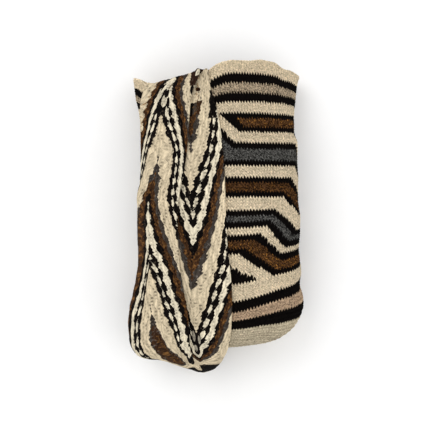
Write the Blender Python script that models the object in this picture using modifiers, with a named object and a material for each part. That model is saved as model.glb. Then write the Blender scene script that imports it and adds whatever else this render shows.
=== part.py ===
"""Hand-looped wool shoulder bag with a wide woven strap, lying on its back.

The bag is a single shell of looped wool: a rounded base, a wall of oval
section and an open, flattened mouth.  The strap is one band: it starts inside
the front lip, runs down the front, turns back in a gathered U at the base,
climbs again over its own left half, crosses the front lip and ends on the
inner face of the back lip.  Two wool lashings sew its ends down.

Model units are metres; the dimensions below are millimetres.
+Z is up, +Y runs from the base to the mouth, +X is to the right.
"""

import math

import bmesh
import bpy
import numpy as np

for old in list(bpy.data.objects):
    bpy.data.objects.remove(old, do_unlink=True)

MM = 0.001

# ---------------------------------------------------------------- dimensions
FABRIC = 3.5          # looped wall
STRAP_THICK = 5.0     # woven band
GAP = 0.8             # air between layers that lie on each other
LIP_ROUND = 1.8       # how much further out the band stands where it turns over a lip
THREAD_R = 1.0        # lashing yarn
MOUTH_Y = 185.0       # nominal height of the mouth
BASE_Y = -105.0       # where the wall starts to turn into the base
BASE_REACH = 56.0     # from there to the end of the base
BASE_PLAN, BASE_SIDE = 2.3, 2.6   # roundness of the base seen from above, and from the side
POLE_X, POLE_Z = 3.0, 44.0        # centre of the base, where the looping starts
SHIFT_X, SHIFT_Y = -0.6, -0.9       # sets the origin under the middle of the whole object

BAG_COLUMNS = 24      # cage of the bag
BAG_ROWS = (185, 177, 165, 146, 120, 90, 55, 20, -15, -50, -82, -105)
BASE_ANGLES = (24, 44, 60, 74, 84)
STRAP_COLUMNS = 7     # cage of the strap, across


def table(rows):
    """A smooth curve through (position, value) pairs that doesn't overshoot."""
    rows = sorted(rows)
    x = np.array([a for a, _ in rows], float)
    v = np.array([b for _, b in rows], float)
    d = np.diff(v) / np.diff(x)
    m = np.zeros_like(v)
    m[0], m[-1] = d[0], d[-1]
    for i in range(1, len(v) - 1):
        if d[i - 1] * d[i] > 0:
            w1 = 2 * (x[i + 1] - x[i]) + (x[i] - x[i - 1])
            w2 = (x[i + 1] - x[i]) + 2 * (x[i] - x[i - 1])
            m[i] = (w1 + w2) / (w1 / d[i - 1] + w2 / d[i])

    def at(t):
        t = np.clip(np.asarray(t, float), x[0], x[-1])
        i = np.clip(np.searchsorted(x, t) - 1, 0, len(x) - 2)
        h = x[i + 1] - x[i]
        s = (t - x[i]) / h
        return (
            (1 + 2 * s) * (1 - s) ** 2 * v[i]
            + s * (1 - s) ** 2 * h * m[i]
            + s * s * (3 - 2 * s) * v[i + 1]
            + s * s * (s - 1) * h * m[i + 1]
        )

    return at


# The bag's outline and section, by height Y.
right_edge = table(((185, 107), (172, 102.5), (160, 100.5), (145, 99.5), (125, 98), (112, 98.5), (97, 102), (60, 103), (20, 104), (0, 106), (-30, 104.5), (-60, 107), (-80, 107.5), (-96, 110.5), (-105, 109)))
left_edge = table(((185, -105.5), (172, -103.5), (160, -101), (150, -97), (140, -93.5), (128, -91), (115, -90), (100, -90), (50, -91.5), (0, -95), (-25, -94), (-53, -93), (-75, -95.5), (-105, -97)))
top_z = table(((185, 85), (165, 90), (140, 96), (110, 101), (70, 105), (0, 106), (-60, 105), (-105, 101)))
side_z = table(((185, 35), (150, 40), (100, 45), (-105, 47)))      # height of the widest line
front_k = table(((185, 0.8), (160, 0.55), (120, 0.38), (80, 0.33), (-105, 0.33)))
front_m = table(((185, 2.2), (120, 2.8), (80, 3.2), (-105, 3.2)))
back_k = table(((185, 0.7), (160, 0.5), (120, 0.40), (80, 0.38), (-105, 0.38)))
# The lips' own heights, by X: the strap pulls the front lip down on the left.
front_lip = table(((-105.5, 177.5), (-98, 174), (-90, 167), (-80, 162.5), (-60, 163), (-40, 165.5), (-20, 170), (-12, 173), (-6, 178), (-1, 183), (5, 189), (15, 195), (25, 197), (53, 197), (65, 196), (75, 195), (86, 189), (95, 187), (103, 183), (107, 180.5)))
back_lip = table(((-105.5, 177.5), (-86, 173), (-50, 177), (-12, 182), (25, 187), (60, 187), (90, 184), (107, 180.5)))

# The strap going down: Y at its right edge, Y at its left edge, X of the right edge, width.
DOWN = ((169, 158, -5.2, 50), (152, 146, -0.7, 54), (130, 128, 5.2, 66), (105, 105, 9.2, 76), (80, 80, 12, 82), (50, 50, 13.6, 84), (20, 20, 14.4, 86), (-10, -10, 15, 88), (-40, -40, 17.5, 88), (-68, -68, 21.2, 89), (-92, -92, 22.4, 89), (-110, -110, 22.2, 87))
# The strap's U-turn: inner edge, outer edge and bulge of each cross-section.
TURN = (
    ((-62, -124, 101), (21.5, -126, 101), (0, 0, 3)),
    ((-54, -141, 93), (20.2, -146, 86), (0, 0, 9)),
    ((-44, -153, 81), (16, -163, 63), (0, -2, 18)),
    ((-35, -160, 77), (7.3, -182.5, 33), (3, -6, 13)),
    ((-29.5, -163, 81), (-10.5, -196, 8), (3, -7, 6)),
    ((-28.2, -162, 90), (-36.5, -188.5, 9), (-1, -8, 1)),
    ((-28.4, -156, 98), (-62, -180.5, 19), (-5, -7, 6)),
    ((-29, -145, 106), (-84, -173, 43), (-4, -5, 11)),
    ((-29.5, -126, 113), (-100, -156, 62), (-4, -3, 13)),
    ((-31.5, -106, 115), (-106.4, -130, 68), (-4, 0, 12.5)),
)
# The strap going up: Y at its right edge, Y at its left edge, X of the right edge, width.
UP = ((-90, -104, -34, 89), (-68, -80, -38, 87), (-45, -52, -40.3, 85), (-20, -22, -41.7, 84.5), (5, 5, -42.2, 85), (28, 28, -40.8, 85), (50, 50, -36.2, 83), (72, 72, -32.2, 81), (95, 95, -30, 79), (118, 116, -28.6, 76), (138, 135, -27, 73), (153, 148, -26, 71))


# ------------------------------------------------------------- bag's surface
HALF = 360            # columns of the working grid, front and back
SAMPLES = 700


def section(y):
    """The bag's outer section at height y: its front arc, right to left, and its back arc, left to right."""
    xl, xr = float(left_edge(y)), float(right_edge(y))
    a, mid = (xr - xl) / 2, (xr + xl) / 2
    zt, zs = float(top_z(y)), float(side_z(y))
    t = np.pi * (0.5 - 0.5 * np.cos(np.pi * np.linspace(0, 1, SAMPLES)))
    c = np.cos(np.pi * (0.5 - 0.5 * np.cos(t)))
    rise = np.clip(1 - np.abs(c) ** float(front_m(y)), 0, 1) ** float(front_k(y))
    sink = 1.085 * np.clip(1 - np.abs(c) ** 3, 0, 1) ** float(back_k(y))
    front = mid + a * c, zs + (zt - zs) * rise
    back = mid - a * c, zs * np.clip(1 - sink, 0, 1) ** 1.5
    return front, back


def evenly(x, z, count):
    s = np.concatenate([[0], np.cumsum(np.hypot(np.diff(x), np.diff(z)))])
    q = np.linspace(0, s[-1], count)
    return np.interp(q, s, x), np.interp(q, s, z)


def wall_rows(heights):
    """Rows of points round the wall: the right side, over the front, the left side, and back under."""
    rows = []
    for y in [MOUTH_Y, *heights]:
        front, back = section(y)
        x1, z1 = evenly(*front, HALF + 1)
        x2, z2 = evenly(*back, HALF + 1)
        x, z = np.concatenate([x1, x2[1:]]), np.concatenate([z1, z2[1:]])
        rows.append(np.stack([x, np.full_like(x, y), z], 1))
    rim = rows[0]
    lips = np.concatenate([front_lip(rim[: HALF + 1, 0]), back_lip(rim[HALF + 1 :, 0])])
    for row in rows:
        share = max(0.0, (row[0, 1] - 110) / (MOUTH_Y - 110)) ** 1.6
        row[:, 1] += share * (lips - MOUTH_Y)
    return rows[1:]


def base_rows(last, angles):
    """Rows that close the wall round the end of the base."""
    rows = []
    for angle in angles:
        c, s = math.cos(math.radians(angle)), math.sin(math.radians(angle))
        plan, side = c ** (2 / BASE_PLAN), c ** (2 / BASE_SIDE)
        row = last.copy()
        row[:, 0] = POLE_X + (last[:, 0] - POLE_X) * plan
        row[:, 1] = BASE_Y - BASE_REACH * s ** (2 / BASE_PLAN)
        row[:, 2] = POLE_Z + (last[:, 2] - POLE_Z) * side
        rows.append(row)
    return rows


fine = wall_rows(np.linspace(MOUTH_Y, BASE_Y, 146))
fine += base_rows(fine[-1], np.linspace(0, 88.6, 60)[1:])
BAG = np.array(fine)
ACROSS = np.empty_like(BAG)
ACROSS[:, 1:-1] = BAG[:, 2:] - BAG[:, :-2]
ACROSS[:, 0] = ACROSS[:, -1] = BAG[:, 1] - BAG[:, -2]
NORMAL = np.cross(np.gradient(BAG, axis=0), ACROSS)
NORMAL /= np.linalg.norm(NORMAL, axis=2, keepdims=True) + 1e-12
if NORMAL[50, HALF // 2, 2] < 0:
    NORMAL = -NORMAL


def on_bag(turn, row, offset=0.0):
    """A point on the bag, turn going once round it, raised by offset along its normal."""
    column = (turn % 1.0) * 2 * HALF
    i = min(int(column), 2 * HALF - 1)
    a = column - i
    row = min(max(row, 0.0), len(BAG) - 1.001)
    j = int(row)
    b = row - j

    def mix(grid):
        return (grid[j, i] * (1 - a) + grid[j, i + 1] * a) * (1 - b) + (
            grid[j + 1, i] * (1 - a) + grid[j + 1, i + 1] * a
        ) * b

    n = mix(NORMAL)
    return mix(BAG) + n / np.linalg.norm(n) * offset


def row_at(turn, height):
    column = BAG[:, int(round((turn % 1.0) * 2 * HALF)), 1]
    return float(np.interp(-height, -column, np.arange(len(column))))


def turn_at(x, height):
    turns = np.arange(0, HALF + 1, 6) / (2 * HALF)
    found = [on_bag(t, row_at(t, height))[0] for t in turns]
    return float(np.interp(-x, -np.array(found), turns))


def lip_point(x, angle, radius, inside=0.0):
    """A point near the front lip at x: on a circle round its edge, from outside (0) over the edge (90) to inside (180), then along the wall's inner face."""
    column = int(np.argmin(np.abs(BAG[0, : HALF + 1, 0] - x)))
    if inside:
        path = np.concatenate([[0], np.cumsum(np.linalg.norm(np.diff(BAG[:60, column], axis=0), axis=1))])
        row = float(np.interp(inside, path, np.arange(60)))
        return on_bag(column / (2 * HALF), row, -FABRIC / 2 - radius)
    edge = BAG[0, column]
    along = BAG[0, column + 5] - BAG[0, column - 5]
    along /= np.linalg.norm(along)
    out = edge - BAG[4, column]
    out -= along * np.dot(out, along)
    out /= np.linalg.norm(out)
    n = NORMAL[0, column] - out * np.dot(NORMAL[0, column], out)
    n -= along * np.dot(n, along)
    n /= np.linalg.norm(n)
    a = math.radians(angle)
    return edge - n * FABRIC / 2 + radius * (math.cos(a) * n + math.sin(a) * out)


# ------------------------------------------------------------ strap's course
FIRST = STRAP_THICK / 2 + GAP              # middle of the band over the bag
SECOND = FIRST + STRAP_THICK + GAP         # and where it lies on itself
NA = 9
EDGE = np.linspace(0, 1, NA)               # across the band, from the inner edge to the outer


def ease(t):
    t = min(max(t, 0.0), 1.0)
    return t * t * (3 - 2 * t)


def over_bag(y0, y1, x0, width, offset):
    """A cross-section lying on the bag: from x0 at height y0 towards the left, ending at height y1."""
    turn, total, points, lengths = turn_at(x0, y0), 0.0, [], []
    while total < width * 1.02:
        t = min(total / width, 1.0)
        p = on_bag(turn, row_at(turn, y0 + (y1 - y0) * t), offset(t))
        if points:
            total += np.linalg.norm(p - points[-1])
        points.append(p)
        lengths.append(total)
        turn += 0.0015
    points = np.array(points)
    return np.stack([np.interp(EDGE * width, lengths, points[:, i]) for i in range(3)], 1)


def free(inner, outer, bulge):
    """A cross-section in the air, from edge to edge with a bulge."""
    e = EDGE[:, None]
    return np.array(inner) * (1 - e) + np.array(outer) * e + np.array(bulge) * 4 * e * (1 - e)


def clear_of_bag(points):
    """Points pushed out to where the band just clears the bag."""
    near, normals = BAG[:, ::3].reshape(-1, 3), NORMAL[:, ::3].reshape(-1, 3)
    out = []
    for p in points:
        i = int(np.argmin(((near - p) ** 2).sum(1)))
        short = FIRST + 2.2 - float(np.dot(p - near[i], normals[i]))
        out.append(p + normals[i] * max(0.0, short))
    return np.array(out)


def strap_sections():
    sections = []
    xs = np.linspace(-53, -4.5, NA)
    r = FABRIC / 2 + GAP + STRAP_THICK / 2 + LIP_ROUND
    for inside in (24, 12):
        sections.append([lip_point(x, 180, r, inside) for x in xs])
    for angle in (180, 135, 90, 45, 0):
        sections.append([lip_point(x, angle, r) for x in xs])
    for y0, y1, x0, width in DOWN:
        sections.append(over_bag(y0, y1, x0, width, lambda t: FIRST)[::-1])
    left_of_down = table([((a + b) / 2, x - w) for a, b, x, w in DOWN])
    for i, (inner, outer, bulge) in enumerate(TURN):
        points = free(inner, outer, bulge)
        sections.append(clear_of_bag(points) if i < 3 else points)
    for y0, y1, x0, width in UP:
        step = (x0 - float(left_of_down((y0 + y1) / 2))) / width

        def offset(t, step=step, width=width):
            return SECOND - (SECOND - FIRST) * ease((t - step) * width / 14 - 0.6)

        sections.append(over_bag(y0, y1, x0, width, offset))
    xs = np.linspace(-9.5, -83, NA)
    raised = [r + (STRAP_THICK + GAP + 0.6) * (1 - ease((-61 - x) / 12)) + 2.5 * ease((x + 26) / 14) for x in xs]
    for angle in (10, 50, 90):
        sections.append([lip_point(x, angle, q) for x, q in zip(xs, raised)])
    sections.append(free((-3, 181, 63), (-77, 168, 38), (0, 3, 2)))
    sections.append(free((12, 178, 36), (-61, 168, 20), (0, 3, 0)))
    sections.append(free((25, 168, 15.5), (-48, 161, 10), (0, 2, -1)))
    flat = FABRIC + FIRST + 0.2
    sections.append(free((33, 154, flat), (-39, 148, flat), (0, 0, 0)))
    sections.append(free((38, 140, flat), (-34, 135, flat), (0, 0, 0)))
    return np.array([np.array(s, float) for s in sections])


# -------------------------------------------------------------- Blender parts
part = bpy.data.collections.new("arhuaca_mochila_bag")
bpy.context.scene.collection.children.link(part)


def material(name, colour, roughness):
    m = bpy.data.materials.new(name)
    m.use_nodes = True
    p = m.node_tree.nodes["Principled BSDF"]
    p.inputs["Base Color"].default_value = (*colour, 1)
    p.inputs["Roughness"].default_value = roughness
    p.inputs["Metallic"].default_value = 0.0
    return m


def placed(p):
    return ((p[0] + SHIFT_X) * MM, (p[1] + SHIFT_Y) * MM, p[2] * MM)


def add_mesh(name, bm, mat):
    mesh = bpy.data.meshes.new(name)
    bm.to_mesh(mesh)
    bm.free()
    obj = bpy.data.objects.new(name, mesh)
    part.objects.link(obj)
    mesh.materials.append(mat)
    mesh.shade_smooth()
    return obj


def subdivide(obj):
    s = obj.modifiers.new("smooth_form", "SUBSURF")
    s.levels = s.render_levels = 1


def thicken(obj, thickness, offset, even):
    s = obj.modifiers.new("wall", "SOLIDIFY")
    s.thickness = thickness * MM
    s.offset = offset
    s.use_even_offset = even
    s.use_quality_normals = True


def build_bag():
    """A cage of rings from the mouth to the middle of the base, smoothed and given the wall's thickness inwards."""
    wall = wall_rows(BAG_ROWS)
    rows = wall + base_rows(wall[-1], BASE_ANGLES)
    bm = bmesh.new()
    step = 2 * HALF // BAG_COLUMNS
    rings = [[bm.verts.new(placed(row[i * step])) for i in range(BAG_COLUMNS)] for row in rows]
    pole = bm.verts.new(placed((POLE_X, BASE_Y - BASE_REACH, POLE_Z)))
    for upper, lower in zip(rings, rings[1:]):
        for i in range(BAG_COLUMNS):
            j = (i + 1) % BAG_COLUMNS
            bm.faces.new((upper[i], upper[j], lower[j], lower[i]))
    for i in range(BAG_COLUMNS):
        bm.faces.new((rings[-1][i], rings[-1][(i + 1) % BAG_COLUMNS], pole))
    bm.normal_update()
    top = max(bm.faces, key=lambda f: f.calc_center_median().z)
    if top.normal.z < 0:
        bmesh.ops.reverse_faces(bm, faces=bm.faces[:])
    bag = add_mesh("bag_body", bm, material("looped_wool", (0.62, 0.55, 0.43), 0.95))
    subdivide(bag)
    thicken(bag, FABRIC, -1, True)
    return bag


def build_strap():
    """A cage of cross-sections along the band's course, smoothed and given the band's thickness both ways."""
    sections = strap_sections()
    pick = np.linspace(0, NA - 1, STRAP_COLUMNS)
    bm = bmesh.new()
    rows = [[bm.verts.new(placed([np.interp(q, range(NA), s[:, k]) for k in range(3)])) for q in pick] for s in sections]
    for a, b in zip(rows, rows[1:]):
        for i in range(STRAP_COLUMNS - 1):
            bm.faces.new((a[i], a[i + 1], b[i + 1], b[i]))
    strap = add_mesh("strap", bm, material("woven_wool", (0.70, 0.64, 0.50), 0.95))
    subdivide(strap)
    thicken(strap, STRAP_THICK, 0, False)
    return strap


def lashing(name, place, stitches):
    """Yarn that runs to and fro over the strap's end: place(t, back, high) gives a point t of the way across, back millimetres past the end, on the strap or on the bag."""
    points = []
    for k in range(stitches):
        for share, past, high in ((0.0, -5.5, True), (0.14, 1.5, True), (0.3, 5.0, False), (0.7, 5.0, False), (0.86, 1.5, True)):
            points.append(place((k + share + 0.25) / (stitches + 0.5), past, high))
    points.append(place((stitches + 0.25) / (stitches + 0.5), -5.5, True))
    curve = bpy.data.curves.new(name, "CURVE")
    curve.dimensions = "3D"
    curve.bevel_depth = THREAD_R * MM
    curve.bevel_resolution = 1
    curve.use_fill_caps = True
    spline = curve.splines.new("POLY")
    spline.points.add(len(points) - 1)
    for target, p in zip(spline.points, points):
        target.co = (*placed(p), 1)
    curve.materials.append(material(name + "_yarn", (0.66, 0.60, 0.47), 0.9))
    obj = bpy.data.objects.new(name, curve)
    part.objects.link(obj)
    return obj


def front_stitch(t, past, high):
    """Inside the front lip, where the wall hangs over the strap's first end."""
    x = -51.5 + t * 45
    on_strap = FABRIC / 2 + GAP + LIP_ROUND + STRAP_THICK + 0.7 + THREAD_R
    return lip_point(x, 180, on_strap if high else FABRIC / 2 + 1.3 + THREAD_R, 24 + past)


def back_stitch(t, past, high):
    """On the inner face of the back, over the strap's last end."""
    x, y = 36 - t * 67, 140 - t * 5
    z = FABRIC + GAP + STRAP_THICK + 0.7 + THREAD_R if high else FABRIC + 0.5 + THREAD_R
    return np.array((x, y - past, z))


build_bag()
build_strap()
lashing("strap_stitching_front", front_stitch, 8)
lashing("strap_stitching_back", back_stitch, 11)
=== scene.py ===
"""How the looped wool shoulder bag looks: stitches, patterned strap, wool, floor and light.

The bag lies on its back and the camera looks straight down on it.  The first
half repeats the bag's surface and the strap's course in millimetres, exactly
as in the solid model; the second half lays the wool on them.
"""

import math

import bpy
import numpy as np
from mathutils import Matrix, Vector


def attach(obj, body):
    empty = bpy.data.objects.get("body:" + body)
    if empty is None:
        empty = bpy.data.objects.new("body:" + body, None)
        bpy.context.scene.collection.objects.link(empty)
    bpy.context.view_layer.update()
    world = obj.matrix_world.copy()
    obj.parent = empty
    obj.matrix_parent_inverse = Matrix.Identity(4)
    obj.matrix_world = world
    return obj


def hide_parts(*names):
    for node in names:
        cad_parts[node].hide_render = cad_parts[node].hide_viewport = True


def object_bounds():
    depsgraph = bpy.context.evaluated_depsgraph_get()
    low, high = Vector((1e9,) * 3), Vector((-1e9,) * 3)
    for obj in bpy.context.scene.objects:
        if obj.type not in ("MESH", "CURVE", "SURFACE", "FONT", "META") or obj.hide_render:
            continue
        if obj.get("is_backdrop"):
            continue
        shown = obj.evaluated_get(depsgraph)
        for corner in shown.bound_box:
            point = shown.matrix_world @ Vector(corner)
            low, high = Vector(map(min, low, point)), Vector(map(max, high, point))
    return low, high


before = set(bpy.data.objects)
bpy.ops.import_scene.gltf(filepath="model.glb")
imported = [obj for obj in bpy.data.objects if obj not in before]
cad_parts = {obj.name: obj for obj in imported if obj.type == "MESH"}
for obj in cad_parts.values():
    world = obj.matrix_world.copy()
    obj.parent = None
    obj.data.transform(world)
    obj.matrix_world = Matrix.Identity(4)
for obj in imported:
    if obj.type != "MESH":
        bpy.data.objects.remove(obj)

cad_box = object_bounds()

MM = 0.001

# ---------------------------------------------------------------- dimensions
FABRIC = 3.5          # looped wall
STRAP_THICK = 5.0     # woven band
GAP = 0.8             # air between layers that lie on each other
LIP_ROUND = 1.8       # how much further out the band stands where it turns over a lip
THREAD_R = 1.0        # lashing yarn
MOUTH_Y = 185.0       # nominal height of the mouth
BASE_Y = -105.0       # where the wall starts to turn into the base
BASE_REACH = 56.0     # from there to the end of the base
BASE_PLAN, BASE_SIDE = 2.3, 2.6   # roundness of the base seen from above, and from the side
POLE_X, POLE_Z = 3.0, 44.0        # centre of the base, where the looping starts
SHIFT_X, SHIFT_Y = -0.6, -0.9       # sets the origin under the middle of the whole object

BAG_COLUMNS = 24      # cage of the bag
BAG_ROWS = (185, 177, 165, 146, 120, 90, 55, 20, -15, -50, -82, -105)
BASE_ANGLES = (24, 44, 60, 74, 84)
STRAP_COLUMNS = 7     # cage of the strap, across


def table(rows):
    """A smooth curve through (position, value) pairs that doesn't overshoot."""
    rows = sorted(rows)
    x = np.array([a for a, _ in rows], float)
    v = np.array([b for _, b in rows], float)
    d = np.diff(v) / np.diff(x)
    m = np.zeros_like(v)
    m[0], m[-1] = d[0], d[-1]
    for i in range(1, len(v) - 1):
        if d[i - 1] * d[i] > 0:
            w1 = 2 * (x[i + 1] - x[i]) + (x[i] - x[i - 1])
            w2 = (x[i + 1] - x[i]) + 2 * (x[i] - x[i - 1])
            m[i] = (w1 + w2) / (w1 / d[i - 1] + w2 / d[i])

    def at(t):
        t = np.clip(np.asarray(t, float), x[0], x[-1])
        i = np.clip(np.searchsorted(x, t) - 1, 0, len(x) - 2)
        h = x[i + 1] - x[i]
        s = (t - x[i]) / h
        return (
            (1 + 2 * s) * (1 - s) ** 2 * v[i]
            + s * (1 - s) ** 2 * h * m[i]
            + s * s * (3 - 2 * s) * v[i + 1]
            + s * s * (s - 1) * h * m[i + 1]
        )

    return at


# The bag's outline and section, by height Y.
right_edge = table(((185, 107), (172, 102.5), (160, 100.5), (145, 99.5), (125, 98), (112, 98.5), (97, 102), (60, 103), (20, 104), (0, 106), (-30, 104.5), (-60, 107), (-80, 107.5), (-96, 110.5), (-105, 109)))
left_edge = table(((185, -105.5), (172, -103.5), (160, -101), (150, -97), (140, -93.5), (128, -91), (115, -90), (100, -90), (50, -91.5), (0, -95), (-25, -94), (-53, -93), (-75, -95.5), (-105, -97)))
top_z = table(((185, 85), (165, 90), (140, 96), (110, 101), (70, 105), (0, 106), (-60, 105), (-105, 101)))
side_z = table(((185, 35), (150, 40), (100, 45), (-105, 47)))      # height of the widest line
front_k = table(((185, 0.8), (160, 0.55), (120, 0.38), (80, 0.33), (-105, 0.33)))
front_m = table(((185, 2.2), (120, 2.8), (80, 3.2), (-105, 3.2)))
back_k = table(((185, 0.7), (160, 0.5), (120, 0.40), (80, 0.38), (-105, 0.38)))
# The lips' own heights, by X: the strap pulls the front lip down on the left.
front_lip = table(((-105.5, 177.5), (-98, 174), (-90, 167), (-80, 162.5), (-60, 163), (-40, 165.5), (-20, 170), (-12, 173), (-6, 178), (-1, 183), (5, 189), (15, 195), (25, 197), (53, 197), (65, 196), (75, 195), (86, 189), (95, 187), (103, 183), (107, 180.5)))
back_lip = table(((-105.5, 177.5), (-86, 173), (-50, 177), (-12, 182), (25, 187), (60, 187), (90, 184), (107, 180.5)))

# The strap going down: Y at its right edge, Y at its left edge, X of the right edge, width.
DOWN = ((169, 158, -5.2, 50), (152, 146, -0.7, 54), (130, 128, 5.2, 66), (105, 105, 9.2, 76), (80, 80, 12, 82), (50, 50, 13.6, 84), (20, 20, 14.4, 86), (-10, -10, 15, 88), (-40, -40, 17.5, 88), (-68, -68, 21.2, 89), (-92, -92, 22.4, 89), (-110, -110, 22.2, 87))
# The strap's U-turn: inner edge, outer edge and bulge of each cross-section.
TURN = (
    ((-62, -124, 101), (21.5, -126, 101), (0, 0, 3)),
    ((-54, -141, 93), (20.2, -146, 86), (0, 0, 9)),
    ((-44, -153, 81), (16, -163, 63), (0, -2, 18)),
    ((-35, -160, 77), (7.3, -182.5, 33), (3, -6, 13)),
    ((-29.5, -163, 81), (-10.5, -196, 8), (3, -7, 6)),
    ((-28.2, -162, 90), (-36.5, -188.5, 9), (-1, -8, 1)),
    ((-28.4, -156, 98), (-62, -180.5, 19), (-5, -7, 6)),
    ((-29, -145, 106), (-84, -173, 43), (-4, -5, 11)),
    ((-29.5, -126, 113), (-100, -156, 62), (-4, -3, 13)),
    ((-31.5, -106, 115), (-106.4, -130, 68), (-4, 0, 12.5)),
)
# The strap going up: Y at its right edge, Y at its left edge, X of the right edge, width.
UP = ((-90, -104, -34, 89), (-68, -80, -38, 87), (-45, -52, -40.3, 85), (-20, -22, -41.7, 84.5), (5, 5, -42.2, 85), (28, 28, -40.8, 85), (50, 50, -36.2, 83), (72, 72, -32.2, 81), (95, 95, -30, 79), (118, 116, -28.6, 76), (138, 135, -27, 73), (153, 148, -26, 71))


# ------------------------------------------------------------- bag's surface
HALF = 360            # columns of the working grid, front and back
SAMPLES = 700


def section(y):
    """The bag's outer section at height y: its front arc, right to left, and its back arc, left to right."""
    xl, xr = float(left_edge(y)), float(right_edge(y))
    a, mid = (xr - xl) / 2, (xr + xl) / 2
    zt, zs = float(top_z(y)), float(side_z(y))
    t = np.pi * (0.5 - 0.5 * np.cos(np.pi * np.linspace(0, 1, SAMPLES)))
    c = np.cos(np.pi * (0.5 - 0.5 * np.cos(t)))
    rise = np.clip(1 - np.abs(c) ** float(front_m(y)), 0, 1) ** float(front_k(y))
    sink = 1.085 * np.clip(1 - np.abs(c) ** 3, 0, 1) ** float(back_k(y))
    front = mid + a * c, zs + (zt - zs) * rise
    back = mid - a * c, zs * np.clip(1 - sink, 0, 1) ** 1.5
    return front, back


def evenly(x, z, count):
    s = np.concatenate([[0], np.cumsum(np.hypot(np.diff(x), np.diff(z)))])
    q = np.linspace(0, s[-1], count)
    return np.interp(q, s, x), np.interp(q, s, z)


def wall_rows(heights):
    """Rows of points round the wall: the right side, over the front, the left side, and back under."""
    rows = []
    for y in [MOUTH_Y, *heights]:
        front, back = section(y)
        x1, z1 = evenly(*front, HALF + 1)
        x2, z2 = evenly(*back, HALF + 1)
        x, z = np.concatenate([x1, x2[1:]]), np.concatenate([z1, z2[1:]])
        rows.append(np.stack([x, np.full_like(x, y), z], 1))
    rim = rows[0]
    lips = np.concatenate([front_lip(rim[: HALF + 1, 0]), back_lip(rim[HALF + 1 :, 0])])
    for row in rows:
        share = max(0.0, (row[0, 1] - 110) / (MOUTH_Y - 110)) ** 1.6
        row[:, 1] += share * (lips - MOUTH_Y)
    return rows[1:]


def base_rows(last, angles):
    """Rows that close the wall round the end of the base."""
    rows = []
    for angle in angles:
        c, s = math.cos(math.radians(angle)), math.sin(math.radians(angle))
        plan, side = c ** (2 / BASE_PLAN), c ** (2 / BASE_SIDE)
        row = last.copy()
        row[:, 0] = POLE_X + (last[:, 0] - POLE_X) * plan
        row[:, 1] = BASE_Y - BASE_REACH * s ** (2 / BASE_PLAN)
        row[:, 2] = POLE_Z + (last[:, 2] - POLE_Z) * side
        rows.append(row)
    return rows


fine = wall_rows(np.linspace(MOUTH_Y, BASE_Y, 146))
fine += base_rows(fine[-1], np.linspace(0, 88.6, 60)[1:])
BAG = np.array(fine)
ACROSS = np.empty_like(BAG)
ACROSS[:, 1:-1] = BAG[:, 2:] - BAG[:, :-2]
ACROSS[:, 0] = ACROSS[:, -1] = BAG[:, 1] - BAG[:, -2]
NORMAL = np.cross(np.gradient(BAG, axis=0), ACROSS)
NORMAL /= np.linalg.norm(NORMAL, axis=2, keepdims=True) + 1e-12
if NORMAL[50, HALF // 2, 2] < 0:
    NORMAL = -NORMAL


def on_bag(turn, row, offset=0.0):
    """A point on the bag, turn going once round it, raised by offset along its normal."""
    column = (turn % 1.0) * 2 * HALF
    i = min(int(column), 2 * HALF - 1)
    a = column - i
    row = min(max(row, 0.0), len(BAG) - 1.001)
    j = int(row)
    b = row - j

    def mix(grid):
        return (grid[j, i] * (1 - a) + grid[j, i + 1] * a) * (1 - b) + (
            grid[j + 1, i] * (1 - a) + grid[j + 1, i + 1] * a
        ) * b

    n = mix(NORMAL)
    return mix(BAG) + n / np.linalg.norm(n) * offset


def row_at(turn, height):
    column = BAG[:, int(round((turn % 1.0) * 2 * HALF)), 1]
    return float(np.interp(-height, -column, np.arange(len(column))))


def turn_at(x, height):
    turns = np.arange(0, HALF + 1, 6) / (2 * HALF)
    found = [on_bag(t, row_at(t, height))[0] for t in turns]
    return float(np.interp(-x, -np.array(found), turns))


def lip_point(x, angle, radius, inside=0.0):
    """A point near the front lip at x: on a circle round its edge, from outside (0) over the edge (90) to inside (180), then along the wall's inner face."""
    column = int(np.argmin(np.abs(BAG[0, : HALF + 1, 0] - x)))
    if inside:
        path = np.concatenate([[0], np.cumsum(np.linalg.norm(np.diff(BAG[:60, column], axis=0), axis=1))])
        row = float(np.interp(inside, path, np.arange(60)))
        return on_bag(column / (2 * HALF), row, -FABRIC / 2 - radius)
    edge = BAG[0, column]
    along = BAG[0, column + 5] - BAG[0, column - 5]
    along /= np.linalg.norm(along)
    out = edge - BAG[4, column]
    out -= along * np.dot(out, along)
    out /= np.linalg.norm(out)
    n = NORMAL[0, column] - out * np.dot(NORMAL[0, column], out)
    n -= along * np.dot(n, along)
    n /= np.linalg.norm(n)
    a = math.radians(angle)
    return edge - n * FABRIC / 2 + radius * (math.cos(a) * n + math.sin(a) * out)


# ------------------------------------------------------------ strap's course
FIRST = STRAP_THICK / 2 + GAP              # middle of the band over the bag
SECOND = FIRST + STRAP_THICK + GAP         # and where it lies on itself
NA = 9
EDGE = np.linspace(0, 1, NA)               # across the band, from the inner edge to the outer


def ease(t):
    t = min(max(t, 0.0), 1.0)
    return t * t * (3 - 2 * t)


def over_bag(y0, y1, x0, width, offset):
    """A cross-section lying on the bag: from x0 at height y0 towards the left, ending at height y1."""
    turn, total, points, lengths = turn_at(x0, y0), 0.0, [], []
    while total < width * 1.02:
        t = min(total / width, 1.0)
        p = on_bag(turn, row_at(turn, y0 + (y1 - y0) * t), offset(t))
        if points:
            total += np.linalg.norm(p - points[-1])
        points.append(p)
        lengths.append(total)
        turn += 0.0015
    points = np.array(points)
    return np.stack([np.interp(EDGE * width, lengths, points[:, i]) for i in range(3)], 1)


def free(inner, outer, bulge):
    """A cross-section in the air, from edge to edge with a bulge."""
    e = EDGE[:, None]
    return np.array(inner) * (1 - e) + np.array(outer) * e + np.array(bulge) * 4 * e * (1 - e)


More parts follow.
